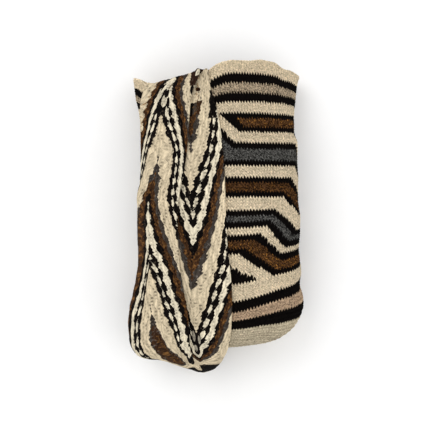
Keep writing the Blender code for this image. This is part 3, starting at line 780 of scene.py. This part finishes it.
def build_strap():
    """One closed band: a finely worked upper face, a plainer lower face, and rounded edges between."""
    fine_rows, step = 697, 3
    turn = np.radians((0, 22, 45, 68, 90))
    edge_e = STRAP_HALF / 84.0 * (1 - np.cos(turn))
    inner = np.linspace(edge_e[-1], 1 - edge_e[-1], 111)
    e_top = np.concatenate([edge_e[:-1], inner, 1 - edge_e[:-1][::-1]])
    h_top = np.concatenate([np.sin(turn[:-1]), np.ones(len(inner)), np.sin(turn[:-1])[::-1]]) * STRAP_HALF
    grid, s = strap_surface(fine_rows, e_top)
    # Where it goes over the lip the band spreads a little over the bag's corner.
    spread = np.interp(s, (795, 812, 828, 838, 846), (0, 2.5, 4.6, 2.0, 0))
    outward = unit(grid[:, -1] - grid[:, -12])
    grid = grid + (spread[:, None] * np.clip((e_top - 0.6) / 0.4, 0, 1) ** 2)[..., None] * outward[:, None]
    normal = unit(np.cross(np.gradient(grid, axis=0), np.gradient(grid, axis=1)))
    if normal[190, 60, 2] < 0:
        normal = -normal
    phase, v, along = strap_phase(s, e_top, grid)
    flat = np.clip((h_top / STRAP_HALF) ** 2, 0, 1)[None]
    top = grid + normal * (h_top[None] + flat * strap_relief(phase, v, along))[..., None]
    # lower face
    pick_r = np.arange(0, fine_rows, step)
    mid_cols = np.linspace(4, len(e_top) - 5, 39).round().astype(int)
    low_cols = np.concatenate([[2], mid_cols, [len(e_top) - 3]])
    depth = h_top[low_cols]
    low = grid[np.ix_(pick_r, low_cols)] - normal[np.ix_(pick_r, low_cols)] * (0.94 * depth[None])[..., None]
    cols, lows = len(e_top), len(low_cols)
    points = np.concatenate([top.reshape(-1, 3), low.reshape(-1, 3)])
    at_phase = np.concatenate([phase.ravel(), phase[np.ix_(pick_r, low_cols)].ravel()])
    at_v = np.concatenate([v.ravel(), v[np.ix_(pick_r, low_cols)].ravel()])
    at_along = np.concatenate([along.ravel(), along[np.ix_(pick_r, low_cols)].ravel()])
    T = np.arange(fine_rows * cols).reshape(fine_rows, cols)
    L = fine_rows * cols + np.arange(len(pick_r) * lows).reshape(len(pick_r), lows)
    faces = np.stack([T[:-1, :-1], T[:-1, 1:], T[1:, 1:], T[1:, :-1]], -1).reshape(-1, 4).tolist()
    faces += np.stack([L[:-1, :-1], L[1:, :-1], L[1:, 1:], L[:-1, 1:]], -1).reshape(-1, 4).tolist()
    for k in range(len(pick_r) - 1):
        a = [T[step * k + i, 0] for i in range(step + 1)]
        faces.append((*a, L[k + 1, 0], L[k, 0]))
        b = [T[step * k + i, -1] for i in range(step + 1)]
        faces.append((L[k, -1], L[k + 1, -1], *b[::-1]))
    # the two cut ends: the upper face's end line against the lower one's
    for row, low_row, turned in ((T[0], L[0], True), (T[-1], L[-1], False)):
        bounds = [0, *low_cols[1:-1], cols - 1]
        for k in range(lows - 1):
            top_part = [row[c] for c in range(bounds[k], bounds[k + 1] + 1)]
            face = [*top_part, low_row[k + 1], low_row[k]]
            faces.append(face[::-1] if turned else face)
    probe = np.array(faces[0])
    p = points[probe]
    if np.dot(np.cross(p[1] - p[0], p[2] - p[1]), normal[0, 0]) < 0:
        faces = [tuple(f[::-1]) for f in faces]
    return add_mesh("mochila_strap", placed(points), faces, {}, {"phase": at_phase, "across": at_v, "along": at_along})


# --------------------------------------------------------------- materials
LIGHT = 1.14          # how bright a white surface facing the camera is in this light


def tint(r, g, b):
    """A wool colour given as it looks on a screen in this light, 0 to 255."""
    return tuple((((c / 255 + 0.055) / 1.055) ** 2.4 if c > 10 else c / 255 / 12.92) / LIGHT for c in (r, g, b)) + (1.0,)


class Wool:
    """A node material, put together by small calls."""

    def __init__(self, name, roughness=1.0, sheen=0.0):
        self.material = bpy.data.materials.new(name)
        self.material.use_nodes = True
        self.tree = self.material.node_tree
        self.tree.nodes.clear()
        self.output = self.tree.nodes.new("ShaderNodeOutputMaterial")
        self.shader = self.tree.nodes.new("ShaderNodeBsdfPrincipled")
        self.tree.links.new(self.shader.outputs[0], self.output.inputs[0])
        self.shader.inputs["Roughness"].default_value = roughness
        self.shader.inputs["Sheen Weight"].default_value = sheen
        self.shader.inputs["Sheen Roughness"].default_value = 0.6
        self.shader.inputs["Specular IOR Level"].default_value = 0.04

    def put(self, socket, value):
        if isinstance(value, bpy.types.NodeSocket):
            self.tree.links.new(value, socket)
        elif socket.type == "VECTOR":
            socket.default_value = value[:3]
        else:
            socket.default_value = value

    def math(self, kind, a, b=0.0, c=0.0, clamp=False):
        n = self.tree.nodes.new("ShaderNodeMath")
        n.operation, n.use_clamp = kind, clamp
        for socket, value in zip(n.inputs, (a, b, c)):
            self.put(socket, value)
        return n.outputs[0]

    def mix(self, share, a, b, kind="MIX"):
        n = self.tree.nodes.new("ShaderNodeMix")
        n.data_type, n.blend_type = "RGBA", kind
        self.put(n.inputs[0], share)
        self.put(n.inputs[6], a)
        self.put(n.inputs[7], b)
        return n.outputs[2]

    def steps(self, value, stops):
        n = self.tree.nodes.new("ShaderNodeValToRGB")
        n.color_ramp.interpolation = "CONSTANT"
        self.put(n.inputs[0], value)
        for i, (place, colour) in enumerate(stops):
            e = n.color_ramp.elements[i] if i < 2 else n.color_ramp.elements.new(place)
            e.position, e.color = place, colour
        return n.outputs[0]

    def attribute(self, name):
        n = self.tree.nodes.new("ShaderNodeAttribute")
        n.attribute_name = name
        return n.outputs["Fac"]

    def place(self):
        return self.tree.nodes.new("ShaderNodeTexCoord").outputs["Object"]

    def noise(self, where, scale, detail=2.0, rough=0.5):
        n = self.tree.nodes.new("ShaderNodeTexNoise")
        self.put(n.inputs["Vector"], where)
        n.inputs["Scale"].default_value = scale
        n.inputs["Detail"].default_value = detail
        n.inputs["Roughness"].default_value = rough
        return n.outputs[0]

    def vector(self, x, y, z):
        n = self.tree.nodes.new("ShaderNodeCombineXYZ")
        for socket, value in zip(n.inputs, (x, y, z)):
            self.put(socket, value)
        return n.outputs[0]

    def scaled(self, colour, factor):
        n = self.tree.nodes.new("ShaderNodeVectorMath")
        n.operation = "SCALE"
        self.put(n.inputs[0], colour)
        self.put(n.inputs["Scale"], factor)
        return n.outputs[0]

    def colour(self, value):
        self.put(self.shader.inputs["Base Color"], value)

    def bump(self, height, strength, distance):
        n = self.tree.nodes.new("ShaderNodeBump")
        n.inputs["Strength"].default_value = strength
        n.inputs["Distance"].default_value = distance
        self.put(n.inputs["Height"], height)
        self.put(self.shader.inputs["Normal"], n.outputs[0])


# RIM_LIT is the cream yarn painted a little lighter: painted light on the rolled rim and the top rows, which face the
# light.
TINTS = {
    CREAM: (214, 197, 168), BLACK: (12, 9, 8), BROWN: (66, 44, 26), GREY: (74, 73, 70),
    MARL: (158, 142, 119), BEIGE: (190, 177, 151), PINK: (171, 146, 120), RIM_LIT: (220, 202, 171),
}


def bag_wool():
    w = Wool("looped_wool_bands")
    p = w.place()
    yarn = w.math("DIVIDE", w.math("ADD", w.attribute("yarn"), 0.5), 8.0)
    base = w.steps(yarn, [(i / 8, tint(*TINTS[i])) for i in range(8)])
    mid, fibre, slow = w.noise(p, 470, 3, 0.75), w.noise(p, 1100, 3, 0.65), w.noise(p, 22, 3, 0.5)
    # heather: light and dark fibres in the spun yarns
    dark = w.steps(yarn, [(i / 8, (v / 4,) * 3 + (1,)) for i, v in enumerate((0.85, 0.9, 3.0, 2.9, 1.9, 0.8, 1.2, 0.75))])
    dark = w.math("MULTIPLY", dark, 4.0)
    fleck = w.math("MULTIPLY", w.math("SUBTRACT", w.noise(p, 420, 2, 0.5), 0.54, clamp=True), 6.0, clamp=True)
    is_brown = w.math("COMPARE", w.attribute("yarn"), float(BROWN), 0.5)
    golden = w.math("ADD", 0.55, w.math("MULTIPLY", w.attribute("tone"), 0.12), clamp=True)
    base = w.mix(w.math("MULTIPLY", w.math("MULTIPLY", fleck, is_brown), golden), base, tint(136, 92, 38))
    spread = w.math("MULTIPLY", w.math("SUBTRACT", mid, 0.5), w.math("MULTIPLY", dark, 3.4))
    grain = w.math("MULTIPLY", w.math("SUBTRACT", fibre, 0.5), w.math("MULTIPLY", dark, 1.8))
    factor = w.math("ADD", w.math("ADD", 1.0, spread), grain)
    factor = w.math("ADD", factor, w.math("MULTIPLY", w.attribute("tone"), 0.085))
    factor = w.math("ADD", factor, w.math("MULTIPLY", w.math("SUBTRACT", slow, 0.5), 0.30))
    # Painted shade: the wool is painted darker where a point sits deep between the loops.
    painted_gap_shade = w.math("SUBTRACT", 1.20, w.math("MULTIPLY", w.attribute("depth"), 0.42))
    factor = w.math("MULTIPLY", factor, painted_gap_shade)
    w.colour(w.scaled(base, w.math("MAXIMUM", factor, 0.15)))
    w.bump(w.math("ADD", fibre, w.math("MULTIPLY", w.noise(p, 520, 2, 0.5), 0.8)), 0.5, 0.0006)
    return w.material


def strap_wool():
    w = Wool("woven_wool_chevrons")
    p = w.place()
    phase, across, along = w.attribute("phase"), w.attribute("across"), w.attribute("along")

    def wave(value, period, shift=0.0):
        return w.math("COSINE", w.math("MULTIPLY", w.math("ADD", value, shift), 2 * math.pi / period))

    # The bands' edges step link by link, and wander a little.
    side = w.math("MULTIPLY", w.math("GREATER_THAN", across, 0.0), 31.0)
    drift = w.noise(w.vector(w.math("MULTIPLY", along, 0.05), w.math("MULTIPLY", phase, 0.025), side), 1.0, 1, 0.5)
    loose = w.noise(w.vector(w.math("MULTIPLY", along, 0.13), w.math("MULTIPLY", phase, 0.11), w.math("ADD", side, 3.0)), 1.0, 3, 0.6)
    wander = w.math("ADD", w.math("MULTIPLY", w.math("SUBTRACT", drift, 0.5), 9.0), w.math("MULTIPLY", w.math("SUBTRACT", loose, 0.5), 13.0))
    links = w.math("ADD", along, w.math("MULTIPLY", w.math("MAXIMUM", w.math("SUBTRACT", LONG, along), 0.0), SLOWER))
    x = w.math("ADD", w.math("ADD", links, w.math("MULTIPLY", phase, SHEAR)), 20 * LINK)
    x = w.math("FRACT", w.math("DIVIDE", w.math("ADD", x, w.math("MULTIPLY", w.math("SUBTRACT", drift, 0.5), 6.0)), LINK))
    step = w.math("MAXIMUM", w.math("SUBTRACT", 0.5, x), w.math("ADD", w.math("MULTIPLY", x, 5.67), -5.17))
    shifted = w.math("ADD", w.math("ADD", phase, w.math("MULTIPLY", step, STEP)), 20 * PERIOD)
    tooth = wave(w.math("ADD", along, w.math("MULTIPLY", shifted, 0.06)), DASH)
    wander = w.math("ADD", wander, w.math("MULTIPLY", tooth, 0.9))
    wander = w.math("ADD", wander, w.math("MULTIPLY", w.math("MULTIPLY", w.math("LESS_THAN", along, 76.0), w.math("GREATER_THAN", across, 0.15)), 7.0))
    m = w.math("MODULO", w.math("ADD", shifted, wander), PERIOD)
    cream, bright, black, brown, grey = tint(203, 187, 158), tint(217, 206, 181), tint(13, 10, 9), tint(57, 37, 23), tint(59, 53, 48)
    left_end = w.math("MULTIPLY", w.math("GREATER_THAN", across, 0.25), w.math("GREATER_THAN", along, 560.0))
    base = w.steps(w.math("DIVIDE", m, PERIOD), [(0, cream), (70 / PERIOD, bright), (94 / PERIOD, black), (108 / PERIOD, brown), (127 / PERIOD, grey)])
    bound = w.math("SUBTRACT", 127.0, w.math("MULTIPLY", w.math("MINIMUM", w.math("MAXIMUM", w.math("SUBTRACT", along, 640.0), 0.0), 15.0), 0.4))
    base = w.mix(w.math("MULTIPLY", left_end, w.math("GREATER_THAN", m, bound)), base, cream)
    left_end = w.math("MULTIPLY", left_end, w.math("MULTIPLY", w.math("GREATER_THAN", along, 626.0), w.math("LESS_THAN", along, 640.0)))
    base = w.mix(w.math("MULTIPLY", left_end, w.math("GREATER_THAN", m, 127.0)), base, brown)
    near_end = w.math("LESS_THAN", along, 72.0)
    base = w.mix(w.math("MULTIPLY", near_end, w.math("MULTIPLY", w.math("GREATER_THAN", m, 108.0), w.math("LESS_THAN", m, 118.0))), base, grey)
    base = w.mix(w.math("MULTIPLY", near_end, w.math("GREATER_THAN", m, 118.0)), base, brown)
    turned = w.math("MULTIPLY", w.math("GREATER_THAN", along, 374.0), w.math("LESS_THAN", along, 440.0))
    base = w.mix(w.math("MULTIPLY", turned, w.math("MULTIPLY", w.math("GREATER_THAN", m, 110.0), w.math("LESS_THAN", m, 138.0))), base, brown)
    # The chain: black links round cream lozenges.
    off = w.math("ABSOLUTE", w.math("SUBTRACT", m, 56.5))
    beat = w.math("MULTIPLY", w.math("SUBTRACT", x, 0.5), 2.0)
    beat = w.math("MULTIPLY", beat, beat)
    in_chain = w.math("LESS_THAN", off, w.math("SUBTRACT", 19.0, w.math("MULTIPLY", beat, 2.0)))
    folded = w.math("MULTIPLY", w.math("LESS_THAN", across, 0.0), w.math("MULTIPLY", w.math("GREATER_THAN", along, 366.0), w.math("LESS_THAN", along, 408.0)))
    in_chain = w.math("MULTIPLY", in_chain, w.math("SUBTRACT", 1.0, w.math("MULTIPLY", folded, w.math("GREATER_THAN", m, 56.0))))
    base = w.mix(w.math("MULTIPLY", folded, w.math("MULTIPLY", w.math("GREATER_THAN", m, 50.0), w.math("LESS_THAN", m, 94.0))), base, bright)
    base = w.mix(in_chain, base, black)
    patchy = w.noise(w.vector(w.math("MULTIPLY", along, 0.09), w.math("MULTIPLY", phase, 0.03), 17.0), 1.0, 1, 0.5)
    lozenge = w.math("ADD", w.math("DIVIDE", off, w.math("ADD", 0.8, w.math("MULTIPLY", patchy, 10.0))), w.math("MULTIPLY", beat, w.math("ADD", 0.60, w.math("MULTIPLY", loose, 1.0))))
    top_of_v = w.math("MULTIPLY", w.math("LESS_THAN", w.math("ABSOLUTE", across), 0.14), w.math("MULTIPLY", w.math("GREATER_THAN", along, 560.0), w.math("LESS_THAN", along, 668.0)))
    foot_of_v = w.math("MULTIPLY", w.math("LESS_THAN", w.math("ABSOLUTE", across), 0.12), w.math("MULTIPLY", w.math("GREATER_THAN", along, 278.0), w.math("LESS_THAN", along, 325.0)))
    top_of_v = w.math("MAXIMUM", top_of_v, foot_of_v)
    lozenge = w.math("MULTIPLY", w.math("LESS_THAN", lozenge, 1.0), w.math("GREATER_THAN", along, 74.0))
    crushed = w.math("MULTIPLY", w.math("GREATER_THAN", along, 325.0), w.math("LESS_THAN", along, 405.0))
    lozenge = w.math("MULTIPLY", lozenge, w.math("SUBTRACT", 1.0, w.math("MAXIMUM", crushed, top_of_v)))
    base = w.mix(lozenge, base, w.scaled(bright, w.math("ADD", 0.45, w.math("MULTIPLY", patchy, 1.0))))
    # Single links of the other colour at the top of the run that goes up.
    def spot(a, c, reach_a, reach_c):
        da, dc = w.math("DIVIDE", w.math("SUBTRACT", along, a), reach_a), w.math("DIVIDE", w.math("SUBTRACT", across, c), reach_c)
        near = w.math("ADD", w.math("MULTIPLY", da, da), w.math("MULTIPLY", dc, dc))
        return w.math("LESS_THAN", w.math("ADD", near, loose), 1.5)

    pale_spots = w.math("MAXIMUM", spot(668.6, -0.046, 6.5, 0.085), w.math("MAXIMUM", spot(657.2, -0.154, 6.0, 0.05), spot(677.7, 0.165, 9.0, 0.10)))
    dark_spots = w.math("MAXIMUM", w.math("MAXIMUM", spot(686.8, 0.165, 5.0, 0.03), spot(676.6, -0.09, 5.0, 0.06)), w.math("MAXIMUM", spot(668.6, 0.085, 4.0, 0.045), spot(666.3, -0.17, 6.0, 0.045)))
    base = w.mix(pale_spots, base, w.scaled(bright, 0.85))
    base = w.mix(dark_spots, base, black)
    base = w.mix(spot(685.7, -0.087, 4.0, 0.03), base, tint(110, 98, 78))
    # And in the black foot of the run that goes down.
    foot = w.math("MAXIMUM", spot(296.0, -0.07, 6.0, 0.04), w.math("MAXIMUM", spot(311.0, -0.06, 4.5, 0.055), spot(300.0, 0.075, 5.0, 0.035)))
    base = w.mix(foot, base, tint(150, 142, 126))
    # The first end, where it is sewn in, is cream with a little brown; the last end is dark.
    start = w.math("ADD", along, w.math("MULTIPLY", wander, 0.4))
    start = w.math("ADD", start, w.math("MULTIPLY", w.math("GREATER_THAN", across, 0.45), 9.0))
    base = w.mix(w.math("LESS_THAN", start, 60.0), base, cream)
    knot_x, knot_y = w.math("SUBTRACT", along, 46.0), w.math("MULTIPLY", w.math("SUBTRACT", across, 0.22), 30.0)
    knot = w.math("ADD", w.math("MULTIPLY", knot_x, knot_x), w.math("MULTIPLY", knot_y, knot_y))
    hem = w.math("ADD", w.math("ADD", along, w.math("MULTIPLY", across, 25.0)), w.math("MULTIPLY", wander, 0.3))
    last = w.math("ADD", w.math("MULTIPLY", across, 40.0), w.math("MULTIPLY", wander, 0.3))
    last = w.math("LESS_THAN", w.math("SUBTRACT", last, w.math("MULTIPLY", along, 0.4)), -303.1)
    last = w.math("MULTIPLY", last, w.math("GREATER_THAN", along, 682.5))
    hem = w.math("MAXIMUM", w.math("LESS_THAN", hem, 41.0), w.math("LESS_THAN", along, 28.5))
    dark_end = w.math("MAXIMUM", w.math("LESS_THAN", knot, 5.0), w.math("MAXIMUM", hem, last))
    tuft_x, tuft_y = w.math("SUBTRACT", along, 31.5), w.math("MULTIPLY", w.math("SUBTRACT", across, 0.33), 26.0)
    tuft = w.math("ADD", w.math("MULTIPLY", tuft_x, tuft_x), w.math("MULTIPLY", tuft_y, tuft_y))
    dark_end = w.math("MULTIPLY", dark_end, w.math("GREATER_THAN", tuft, 4.5))
    base = w.mix(dark_end, base, tint(46, 29, 21))
    base = w.mix(spot(695.5, -0.889, 3.5, 0.10), base, bright)
    # Brown and grey yarns are spun from mixed fibres, and a few pale fibres stray into the black.
    grain = w.noise(p, 1000, 3, 0.6)
    blend = w.noise(w.vector(w.math("MULTIPLY", shifted, 0.13), w.math("MULTIPLY", along, 0.22), w.math("ADD", side, 9.0)), 1.0, 3, 0.75)
    plain = w.math("SUBTRACT", 1.0, in_chain)
    is_brown = w.math("MULTIPLY", w.math("GREATER_THAN", m, 108.0), w.math("LESS_THAN", m, 127.0))
    gold = w.math("MULTIPLY", w.math("SUBTRACT", blend, 0.50, clamp=True), 7.0, clamp=True)
    base = w.mix(w.math("MULTIPLY", gold, w.math("MULTIPLY", is_brown, plain)), base, tint(124, 86, 46))
    pale = w.math("MULTIPLY", w.math("SUBTRACT", blend, 0.54, clamp=True), 6.0, clamp=True)
    base = w.mix(w.math("MULTIPLY", pale, w.math("MULTIPLY", w.math("GREATER_THAN", m, 127.0), plain)), base, tint(116, 110, 104))
    stray = w.math("MULTIPLY", w.math("SUBTRACT", blend, 0.585, clamp=True), 8.0, clamp=True)
    stray = w.math("MULTIPLY", stray, w.math("SUBTRACT", 1.0, lozenge))
    base = w.mix(w.math("MULTIPLY", stray, w.math("MAXIMUM", in_chain, w.math("MULTIPLY", w.math("GREATER_THAN", m, 94.0), w.math("LESS_THAN", m, 108.0)))), base, tint(84, 74, 62))
    # Painted light and shade of the ribs and their slanting stitches, and painted shade in the small holes in the
    # grooves.
    sigma = w.math("DIVIDE", shifted, RIB)
    rib, half_rib = wave(shifted, RIB), wave(shifted, RIB / 2)
    lean = w.math("MULTIPLY", w.math("ABSOLUTE", w.math("SUBTRACT", w.math("FRACT", sigma), 0.5)), 0.7 * DASH)
    lean = w.math("ADD", lean, w.math("MULTIPLY", w.math("FLOOR", sigma), 0.38 * DASH))
    stitch = wave(w.math("ADD", along, lean), DASH)
    patchy_tone_and_hole_shade = w.noise(w.vector(w.math("MULTIPLY", shifted, 0.035), w.math("MULTIPLY", along, 0.05), w.math("ADD", side, 7.0)), 1.0, 2, 0.5)
    # Painted shade in the small holes between the ribs, shown only in patches.
    hole = w.math("SUBTRACT", w.math("MULTIPLY", rib, -3.0), 1.5, clamp=True)
    hole = w.math("MULTIPLY", hole, w.math("ADD", 0.5, w.math("MULTIPLY", stitch, -1.5), clamp=True))
    hole = w.math("MULTIPLY", hole, w.math("MULTIPLY", w.math("SUBTRACT", patchy_tone_and_hole_shade, 0.38, clamp=True), 5.0, clamp=True))
    fibre = w.noise(w.vector(w.math("MULTIPLY", shifted, 0.21), w.math("MULTIPLY", along, 0.10), w.math("ADD", side, 5.0)), 1.0, 3, 0.75)
    # Painted light on the rib crests and painted shade in the grooves and between the stitches; fibre and grain add the
    # yarn's own mottling, and the patchy noise adds uneven tone.
    factor = w.math("ADD", 1.07, w.math("MULTIPLY", rib, 0.11))
    factor = w.math("ADD", factor, w.math("MULTIPLY", half_rib, 0.09))
    factor = w.math("ADD", factor, w.math("MULTIPLY", stitch, 0.045))
    factor = w.math("ADD", factor, w.math("MULTIPLY", w.math("SUBTRACT", fibre, 0.5), 2.0))
    factor = w.math("ADD", factor, w.math("MULTIPLY", w.math("SUBTRACT", grain, 0.5), 0.8))
    factor = w.math("ADD", factor, w.math("MULTIPLY", w.math("SUBTRACT", patchy_tone_and_hole_shade, 0.5), -0.35))
    # The holes' painted shade darkens the wool by up to 62 percent.
    factor = w.math("MULTIPLY", factor, w.math("SUBTRACT", 1.0, w.math("MULTIPLY", hole, 0.62)))
    # Painted light: over one stretch of the run going down, the band is painted lighter towards one edge, where it lies
    # less in shade.
    edge = w.math("MULTIPLY", w.math("SUBTRACT", across, 0.62, clamp=True), w.math("MULTIPLY", w.math("LESS_THAN", along, 218.0), w.math("GREATER_THAN", along, 140.0)))
    factor = w.math("MULTIPLY", factor, w.math("ADD", 1.0, w.math("MULTIPLY", edge, 0.7)))
    w.colour(w.scaled(base, w.math("MAXIMUM", factor, 0.2)))
    w.bump(w.math("ADD", w.math("MULTIPLY", rib, 0.4), w.math("ADD", grain, fibre)), 0.6, 0.0008)
    return w.material


def yarn_wool():
    w = Wool("sewing_yarn")
    p = w.place()
    fibre = w.noise(p, 900, 3, 0.6)
    w.colour(w.scaled(tint(200, 183, 152), w.math("ADD", 0.75, w.math("MULTIPLY", fibre, 0.5))))
    w.bump(fibre, 0.6, 0.0004)
    return w.material


def floor_paper():
    w = Wool("pale_floor", 0.9, 0.0)
    p = w.place()
    w.colour(w.scaled((0.93, 0.93, 0.93, 1), w.math("ADD", 0.99, w.math("MULTIPLY", w.noise(p, 40, 2, 0.5), 0.02))))
    return w.material


# ------------------------------------------------------------------- scene
bag = build_bag()
bag.data.materials.append(bag_wool())
strap = build_strap()
strap.data.materials.append(strap_wool())
for piece, node, slot in ((bag, "bag_body", "looped_wool"), (strap, "strap", "woven_wool")):
    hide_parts(node)
    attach(piece, "root")
sewing = yarn_wool()
for node in ("strap_stitching_front", "strap_stitching_back"):
    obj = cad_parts[node]
    obj.data.materials.clear()
    obj.data.materials.append(sewing)

half = 6.0
floor = add_mesh("floor", np.array([(-half, -half, -0.0001), (half, -half, -0.0001), (half, half, -0.0001), (-half, half, -0.0001)]), [(0, 1, 2, 3)], {}, {})
floor.data.materials.append(floor_paper())
floor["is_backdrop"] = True

world = bpy.data.worlds.new("studio")
world.use_nodes = True
world.node_tree.nodes["Background"].inputs[0].default_value = (1.0, 1.0, 1.0, 1)
world.node_tree.nodes["Background"].inputs[1].default_value = 1.0
bpy.context.scene.world = world


def area_light(name, where, size, power):
    light = bpy.data.lights.new(name, "AREA")
    light.shape, light.size, light.energy = "DISK", size, power
    obj = bpy.data.objects.new(name, light)
    bpy.context.scene.collection.objects.link(obj)
    obj.location = where
    direction = -np.array(where, float)
    obj.rotation_euler = (
        math.atan2(math.hypot(direction[0], direction[1]), -direction[2]),
        0,
        math.atan2(direction[1], direction[0]) - math.pi / 2,
    )
    return obj


area_light("key", (-0.9, 1.1, 1.9), 1.4, 11)
area_light("fill", (1.3, -0.5, 1.8), 1.8, 5)

eye = bpy.data.cameras.new("camera")
eye.sensor_width, eye.lens = 36.0, 36.0 * PIX / 430
camera = bpy.data.objects.new("camera", eye)
bpy.context.scene.collection.objects.link(camera)
camera.location = tuple(c * MM for c in CAM)
camera.rotation_euler = (0, 0, 0)
bpy.context.scene.camera = camera
bpy.context.scene.view_settings.view_transform = "Standard"


def plain(box):
    return [[float(c) for c in corner] for corner in box]


{"cad": plain(cad_box), "visual": plain(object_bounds())}
